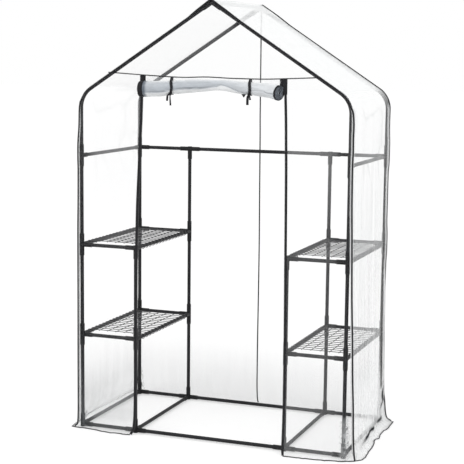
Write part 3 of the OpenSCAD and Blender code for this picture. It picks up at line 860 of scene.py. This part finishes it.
FRONT_Y = HALF_D + float(end_off(HEADER_H))
seams = Shape()
reach = HEADER_HALF - 0.004
header_x = np.linspace(-reach, reach, 90)
header_path = np.stack([header_x, np.full(90, -(FRONT_Y + TAPE_OFF)), HEADER(header_x)], 1)
seams.add(*ribbon(header_path, UPWARD, HEADER_SEAM_W, TAPE_T))
seam_z = np.linspace(0.012, FILM_TOP - 0.008, 120)
seam_path = np.stack([SEAM[0](seam_z), HALF_D + end_off(seam_z) + SEAM[1](seam_z) + TAPE_OFF, seam_z], 1)
seams.add(*ribbon(seam_path, ACROSS, BACK_SEAM_W, TAPE_T))
seams.build("cover_seam_tapes", TAPE, "black_tape", "cover_seams")


def hem_tape(grid_edge, outward, width):
    """Tape folded along the lowest edge of a sheet of film."""
    path = grid_edge + outward * TAPE_OFF
    path[:, 2] = path[:, 2] + HEM_LIFT
    slant = -outward * HEM_SLANT[0] + np.array([0, 0, HEM_SLANT[1]])
    return ribbon(path, slant, width, TAPE_T)


hem = Shape()
for side in (LEFT, RIGHT):
    hem.add(*hem_tape(side_grids[side][0], np.array([side, 0, 0]), SIDE_HEM_W))
    for end in (FRONT, BACK):
        hem.add(*hem_tape(end_grids[end, side][0], np.array([0, end, 0]), END_HEM_W))
hem.build("hem_binding_tape", TAPE, "black_tape", "hem_binding")

ZIP_W = {LEFT: 0.0125, RIGHT: 0.0105}
TOOTH_PITCH = 0.003
TOOTH_SIZE = (0.0030, 0.0024, 0.0017)
TOOTH_OFF = 0.0014


def tooth(at):
    x, y, z = np.meshgrid([-.5, .5], [-.5, .5], [-.5, .5], indexing="ij")
    corners = np.stack([x.ravel(), y.ravel(), z.ravel()], 1) * TOOTH_SIZE + at
    return corners, [(0, 1, 3, 2), (4, 6, 7, 5), (0, 4, 5, 1), (2, 3, 7, 6), (0, 2, 6, 4), (1, 5, 7, 3)]


def zip_place(side, z, off):
    """A zip's middle at a height, and how far it lies off the film."""
    return JAMB[side][0](z), -(HALF_D + end_off(z) + JAMB[side][1](z) + off), z


zips, teeth = Shape(), Shape()
for side in (LEFT, RIGHT):
    zip_z = np.concatenate([np.linspace(0.004, 0.2, 40)[:-1], np.linspace(0.2, HEADER_H - 0.004, 100)])
    zips.add(*ribbon(np.stack(zip_place(side, zip_z, TAPE_OFF), 1), ACROSS, ZIP_W[side], TAPE_T))
    inner_edge = np.array([-side * ZIP_W[side] / 2, 0, 0])
    for tooth_z in np.arange(0.012, HEADER_H - 0.01, TOOTH_PITCH):
        teeth.add(*tooth(np.array(zip_place(side, tooth_z, TOOTH_OFF)) + inner_edge))
zips.build("door_zip_tapes", TAPE, "black_tape", "door_zips")
teeth.build("door_zip_teeth", TEETH, "black_tape", smooth=False)


# The rolled door: the film wound on itself, with its zip tapes wound at both ends

ROLL_Y = -0.334
ROLL_HALF = 0.3135
ROLL_TAPE_W = {LEFT: 0.022, RIGHT: 0.008}
ROLL_TAPE_T = 0.0015
ROLL_CORE = 0.007
TURNS = 11
# Where the ties lie, and how deep they pinch the roll
TIE_X = {LEFT: -0.157, RIGHT: 0.195}
PINCH = {LEFT: 0.0030, RIGHT: 0.0026}
PINCH_W = 0.012
ROLL_Z = table([(-.3135, 1.5235), (-.220, 1.5266), (-.130, 1.5355), (-.040, 1.5420), (.050, 1.5463),
                (.139, 1.5370), (.227, 1.5310), (.279, 1.5255), (.3135, 1.5178)])
ROLL_R = table([(-.3135, .0350), (-.220, .0335), (-.130, .0305), (-.040, .0277), (.050, .0227),
                (.139, .0272), (.227, .0295), (.3135, .0310)])
# The line of a long crease round the front of the roll, in degrees from the back
CREASE = table([(-.3135, 204), (-.220, 205), (-.140, 203), (-.108, 199), (-.070, 201), (-.027, 206),
                (.010, 203), (.040, 199), (.062, 178), (.090, 184), (.120, 202), (.151, 222), (.166, 234),
                (.190, 205), (.210, 194), (.235, 189), (.252, 189), (.273, 198), (.3135, 192)])
# How deep the crease is along the roll, which also sets its painted shade, and how far it spreads in degrees
CREASE_DEPTH = table([(-.3135, .30), (-.22, .3), (-.17, .7), (-.10, 1), (-.03, .9), (.04, .4), (.06, .30),
                      (.15, .4), (.21, .40), (.26, .5), (.3135, .5)])
CREASE_SPREAD = table([(-.3135, 5), (-.17, 6.5), (-.10, 8), (-.03, 8), (.04, 5.6), (.3135, 5.6)])
DENT = 0.0040
# The lip that the crease raises: its height, and its distance below and its width in degrees
LIP = 0.0014
LIP_GAP = 11
LIP_W = 6.0
# Painted shading of the roll, which makes its front darker than its top and bottom: how pale the film is
# painted on the front of the roll, and below its crease
FRONT_SHADE_TONE = table([(-.3135, 0), (0, .05), (.10, .20), (.20, .45), (.3135, .60)])
LOW_SHADE_TONE = table([(-.3135, .90), (0, 1), (.10, 1), (.20, .60), (.3135, .60)])
# How far the door's top edge lies to the right of its rolled part
TOP_SHIFT = table([(-.3135, .0035), (.3135, .0125)])
# The right end is wound askew: its front and its bottom lie further in
SKEW = table([(-.3135, 0), (.23, 0), (.30, 1), (.3135, 1)])
SKEW_Y = 0.36
SKEW_Z = 0.12


def degrees(start, stop, step):
    return np.radians(np.arange(start, stop, step))


def roll_radius(x):
    pinch = sum(PINCH[side] * np.exp(-((x - TIE_X[side]) / PINCH_W) ** 2) for side in (LEFT, RIGHT))
    return ROLL_R(x) - pinch


# The last turn ends behind the roll's top, where the film hangs from the seam.
WINDING = np.concatenate([degrees(60 - 360 * TURNS, -300, 16), degrees(-300, -195, 6),
                          degrees(-195, -115, 1.2), degrees(-115, 61, 6)])
WOUND = len(WINDING)


def roll_grid(x, lift=0.0):
    """The wound film at places along the roll, from its core out and then up to the header seam.

    The second result is how deep each point lies in the crease, which also sets the painted shade there, and
    the third how pale its painted shading makes it.
    """
    turn = WINDING[:, None]
    x = x[None, :]
    share = (turn - turn[0]) / (turn[-1] - turn[0])
    place = np.degrees(turn) % 360
    below = place - CREASE(x)
    outside = ease(0.80, 0.93, share)
    dent = np.exp(-(below / CREASE_SPREAD(x)) ** 2) * outside * CREASE_DEPTH(x)
    lip = np.exp(-((below - LIP_GAP) / LIP_W) ** 2) * outside
    radius = mix(ROLL_CORE, roll_radius(x), share) - DENT * dent + LIP * lip + lift
    uneven = 0.0014 * noise(x * 14 + 3, turn * 1.1, 41) + 0.0007 * noise(x * 40, turn * 2.1, 42)
    radius = radius + share * uneven
    across, up = radius * np.cos(turn), radius * np.sin(turn)
    y, z = ROLL_Y + across, ROLL_Z(x) + up
    end_x = x + SKEW(x) * (SKEW_Y * across + SKEW_Z * up)
    t = np.linspace(0, 1, 8)[1:, None]
    top_x = x + TOP_SHIFT(x) * t
    ys = np.concatenate([y, mix(y[-1:], -FRONT_Y + 0 * x, t)])
    zs = np.concatenate([z, mix(z[-1:], HEADER(x), t)])
    xs = np.concatenate([end_x, top_x])
    # Painted shading: the top and bottom of the roll pale, its front darker.
    tone = mix(FRONT_SHADE_TONE(x), 1.0, 1 - ease(80, 160, place))
    tone = mix(tone, mix(LOW_SHADE_TONE(x), 1.0, ease(225, 275, place)), ease(0, 14, below))
    return np.stack([xs, ys, zs], 2), np.concatenate([dent, 0 * top_x]), np.concatenate([tone, 1 + 0 * top_x])


roll = Shape()
ROLL_FILM = (ROLL_TAPE_W[LEFT] - ROLL_HALF, ROLL_HALF - ROLL_TAPE_W[RIGHT])
roll_x = np.concatenate([np.linspace(ROLL_FILM[0], ROLL_FILM[0] + 0.03, 13)[:-1],
                         np.linspace(ROLL_FILM[0] + 0.03, ROLL_FILM[1], 104)])
roll_points, roll_crease, roll_shade_tone = roll_grid(roll_x)
roll.add(*closed_sheet(roll_points, FILM_T))
# The layers of tape inside show grey through the film beside the left end.
tape_shade = 0.90 + 0.08 * noise(roll_x * 350, 0 * roll_x, 43)
tape_shade = ease(0.022, 0.006, roll_x - roll_x[0]) * tape_shade
roll_crease = np.maximum(roll_crease, tape_shade[None, :])
# Above the winding only one layer of film hangs from the seam, and it is clear.
SHEER = 0.85
roll_sheer = np.zeros(roll_crease.shape)
roll_sheer[WOUND:] = SHEER
roll_crease[WOUND:] = 0
roll_look = {"crease": roll_crease, "tone": roll_shade_tone, "sheer": roll_sheer}
roll_look = {key: np.tile(value.ravel(), 2) for key, value in roll_look.items()}
# The film's own edge shows between the turns of tape at both ends.
RIM_LOOK = {"crease": 0.72, "tone": 0.0, "sheer": 0.0}
OUTER_R = 0.0335
LAYER = (OUTER_R - ROLL_CORE) / TURNS
for side in (LEFT, RIGHT):
    rim = np.sort(side * np.array([ROLL_HALF - 0.004, ROLL_HALF + 0.0003]))
    roll.add(*closed_sheet(roll_grid(rim, -LAYER / 2)[0][:WOUND], FILM_T))
    roll_look = {key: np.concatenate([value, np.full(4 * WOUND, RIM_LOOK[key])])
                 for key, value in roll_look.items()}
roll_obj = roll.build("rolled_door_film", MILKY, "rolled_film", "door_roll", **roll_look)

roll_tape = Shape()
for side in (LEFT, RIGHT):
    band = side * np.linspace(ROLL_HALF - ROLL_TAPE_W[side] + 0.0004, ROLL_HALF, 5)
    roll_tape.add(*closed_sheet(roll_grid(np.sort(band))[0][:WOUND], ROLL_TAPE_T))
# A corner of the door's bottom binding that hangs out of the roll
peek = np.array([[.1580, -.3680, 1.5115], [.1785, -.3675, 1.5115], [.1690, -.3675, 1.4970]])
roll_tape.add(*rings([peek, peek + [0, 0.0016, 0]]))
# The door's zip tapes between the header seam and the roll: place and width
NECKS = ((-0.3100, 0.0265), (0.3234, 0.0330))
NECK_FOOT = 1.510
NECK_OFF = 0.0006
for neck_x, neck_w in NECKS:
    neck_z = np.linspace(NECK_FOOT, float(HEADER(neck_x)), 12)
    neck = np.stack([np.full(12, neck_x), np.full(12, -(FRONT_Y + NECK_OFF)), neck_z], 1)
    roll_tape.add(*ribbon(neck, ACROSS, neck_w, TAPE_T))
roll_tape.build("rolled_door_tapes", TAPE, "black_tape")


# Ties: a tape from the header seam round the roll, knotted in front, with two tails

TIE_W = 0.0115
TIE_T = 0.0012
TIE_OFF = 0.0022
KNOT_ANGLE = math.radians(232)
KNOT_SIZE = 0.0021
KNOT_R = 0.0022
# The shifts sideways of each tie at the seam, in front and at the knot
TIE_SHIFTS = {LEFT: (-0.0176, 0.0005, -0.0085), RIGHT: (-0.0153, -0.0027, -0.0074)}
# Its tails: where each one ends beside and below the knot, its width and its turn in degrees
TAILS = {LEFT: ((-0.013, -0.030, 0.0085, 60), (0.003, -0.049, 0.0075, -50)),
         RIGHT: ((-0.006, -0.042, 0.0105, 40), (0.006, -0.021, 0.0080, -60))}


def smooth_path(points, count):
    """A smooth curve through a few points, in even steps of their distance."""
    points = np.array(points, float)
    at = np.concatenate([[0], np.cumsum(np.linalg.norm(np.diff(points, axis=0), axis=1))])
    places = np.linspace(0, at[-1], count)
    return np.stack([table(list(zip(at, points[:, k])))(places) for k in range(3)], 1)


def knot_path(at, size):
    t = np.linspace(0, 2 * math.pi, 60)
    return np.array(at) + size * np.stack([np.sin(t) + 2 * np.sin(2 * t), -np.sin(3 * t),
                                           np.cos(t) - 2 * np.cos(2 * t)], 1)


def twisted(count, start, stop):
    """Directions of a hanging tape's width that turn about the vertical, in degrees."""
    a = np.radians(np.linspace(start, stop, count))
    return np.stack([np.cos(a), np.sin(a), 0 * a], 1)


def tie(shape, side):
    """One tie, on the left or on the right."""
    x = TIE_X[side]
    top, front_x, low = TIE_SHIFTS[side]
    radius = float(roll_radius(np.array(x))) + TIE_OFF
    header = float(HEADER(x))

    def around(shift, angle, lift=0.0):
        return (x + shift, ROLL_Y + (radius + lift) * math.cos(angle),
                float(ROLL_Z(x)) + (radius + lift) * math.sin(angle))

    shifts = table([(128, mix(top, front_x, 0.6)), (180, front_x), (240, low)])
    front = [(x + top, -(FRONT_Y + 0.002), header)]
    front += [around(float(shifts(a)), math.radians(a)) for a in np.linspace(128, 240, 12)]
    back = [(x + top, -(FRONT_Y - 0.002), header)]
    back += [around(mix(top, low, (k + 1) / 16), a)
             for k, a in enumerate(np.radians(np.linspace(52, -112, 16)))]
    for path in (front, back):
        shape.add(*ribbon(smooth_path(path, 40), ACROSS, TIE_W, TIE_T))
    knot = np.array(around(low - 0.001, KNOT_ANGLE, 0.003))
    shape.add(*tube(knot_path(knot, KNOT_SIZE), KNOT_R, sides=6))
    for drop_x, drop_z, width, turn in TAILS[side]:
        end = knot + np.array([drop_x, -0.002, drop_z])
        bulge = mix(knot, end, 0.4) + np.array([0.3 * drop_x, -0.004, 0.004])
        shape.add(*ribbon(smooth_path([knot, bulge, end], 24), twisted(24, turn, 10), width, TIE_T))


ties = Shape()
for side in (LEFT, RIGHT):
    tie(ties, side)
ties.build("door_tie_tapes", TAPE, "black_tape", "door_ties")


# The floor, the light and the camera

FLOOR_HALF = 60


def white_for_camera(tree, lit, shown):
    """A strength that is shown to the camera, gloss and glass, and lit for the rest of the light."""
    rays = add_node(tree, "ShaderNodeLightPath").outputs
    seen = calc(tree, "MAXIMUM", rays["Is Camera Ray"], rays["Is Glossy Ray"])
    seen = calc(tree, "MAXIMUM", seen, rays["Is Transmission Ray"])
    limits = {"To Min": lit, "To Max": shown}
    return add_node(tree, "ShaderNodeMapRange", Value=seen, **limits).outputs["Result"]


floor_mesh = bpy.data.meshes.new("floor")
floor_mesh.from_pydata([(-FLOOR_HALF, -FLOOR_HALF, 0), (FLOOR_HALF, -FLOOR_HALF, 0),
                        (FLOOR_HALF, FLOOR_HALF, 0), (-FLOOR_HALF, FLOOR_HALF, 0)], [], [(0, 1, 2, 3)])
floor = bpy.data.objects.new("floor", floor_mesh)
bpy.context.scene.collection.objects.link(floor)
floor_mat, floor_tree, floor_shader = new_material(
    "pale_floor", Base_Color=(0.7, 0.7, 0.7, 1), Roughness=0.9, Specular_IOR_Level=0.1,
    Emission_Color=(1, 1, 1, 1))
feed(floor_tree, floor_shader, Emission_Strength=white_for_camera(floor_tree, 0.0, 0.40))
floor_mesh.materials.append(floor_mat)

world = bpy.data.worlds.new("studio")
bpy.context.scene.world = world
world.use_nodes = True
background = world.node_tree.nodes["Background"]
background.inputs["Color"].default_value = (1, 1, 1, 1)
feed(world.node_tree, background, Strength=white_for_camera(world.node_tree, 0.88, 1.0))


def soft_box(name, place, aim, size, power):
    light = bpy.data.lights.new(name, "AREA")
    light.energy = power
    light.size = size
    obj = bpy.data.objects.new(name, light)
    obj.location = place
    obj.rotation_euler = (Vector(aim) - Vector(place)).to_track_quat("-Z", "Y").to_euler()
    bpy.context.scene.collection.objects.link(obj)


soft_box("key", (-2.6, -3.4, 4.2), (0, 0, 1.0), 2.6, 42)
soft_box("fill", (3.9, -2.4, 2.4), (0, 0, 0.8), 2.6, 34)

EYE = Vector((1.9793, -5.3033, 1.6572))
FORWARD = Vector((-0.3486, 0.9274, -0.1353)).normalized()
UP = Vector((-0.058, 0.1227, 0.9907))
camera = bpy.data.cameras.new("camera")
camera.sensor_fit = "HORIZONTAL"
camera.sensor_width = 36.0
camera.lens = 98.72
camera_obj = bpy.data.objects.new("camera", camera)
across = FORWARD.cross(UP).normalized()
upright = across.cross(FORWARD)
camera_obj.matrix_world = Matrix.Translation(EYE) @ Matrix((across, upright, -FORWARD)).transposed().to_4x4()
bpy.context.scene.collection.objects.link(camera_obj)
bpy.context.scene.camera = camera_obj
bpy.context.scene.view_settings.view_transform = "Standard"
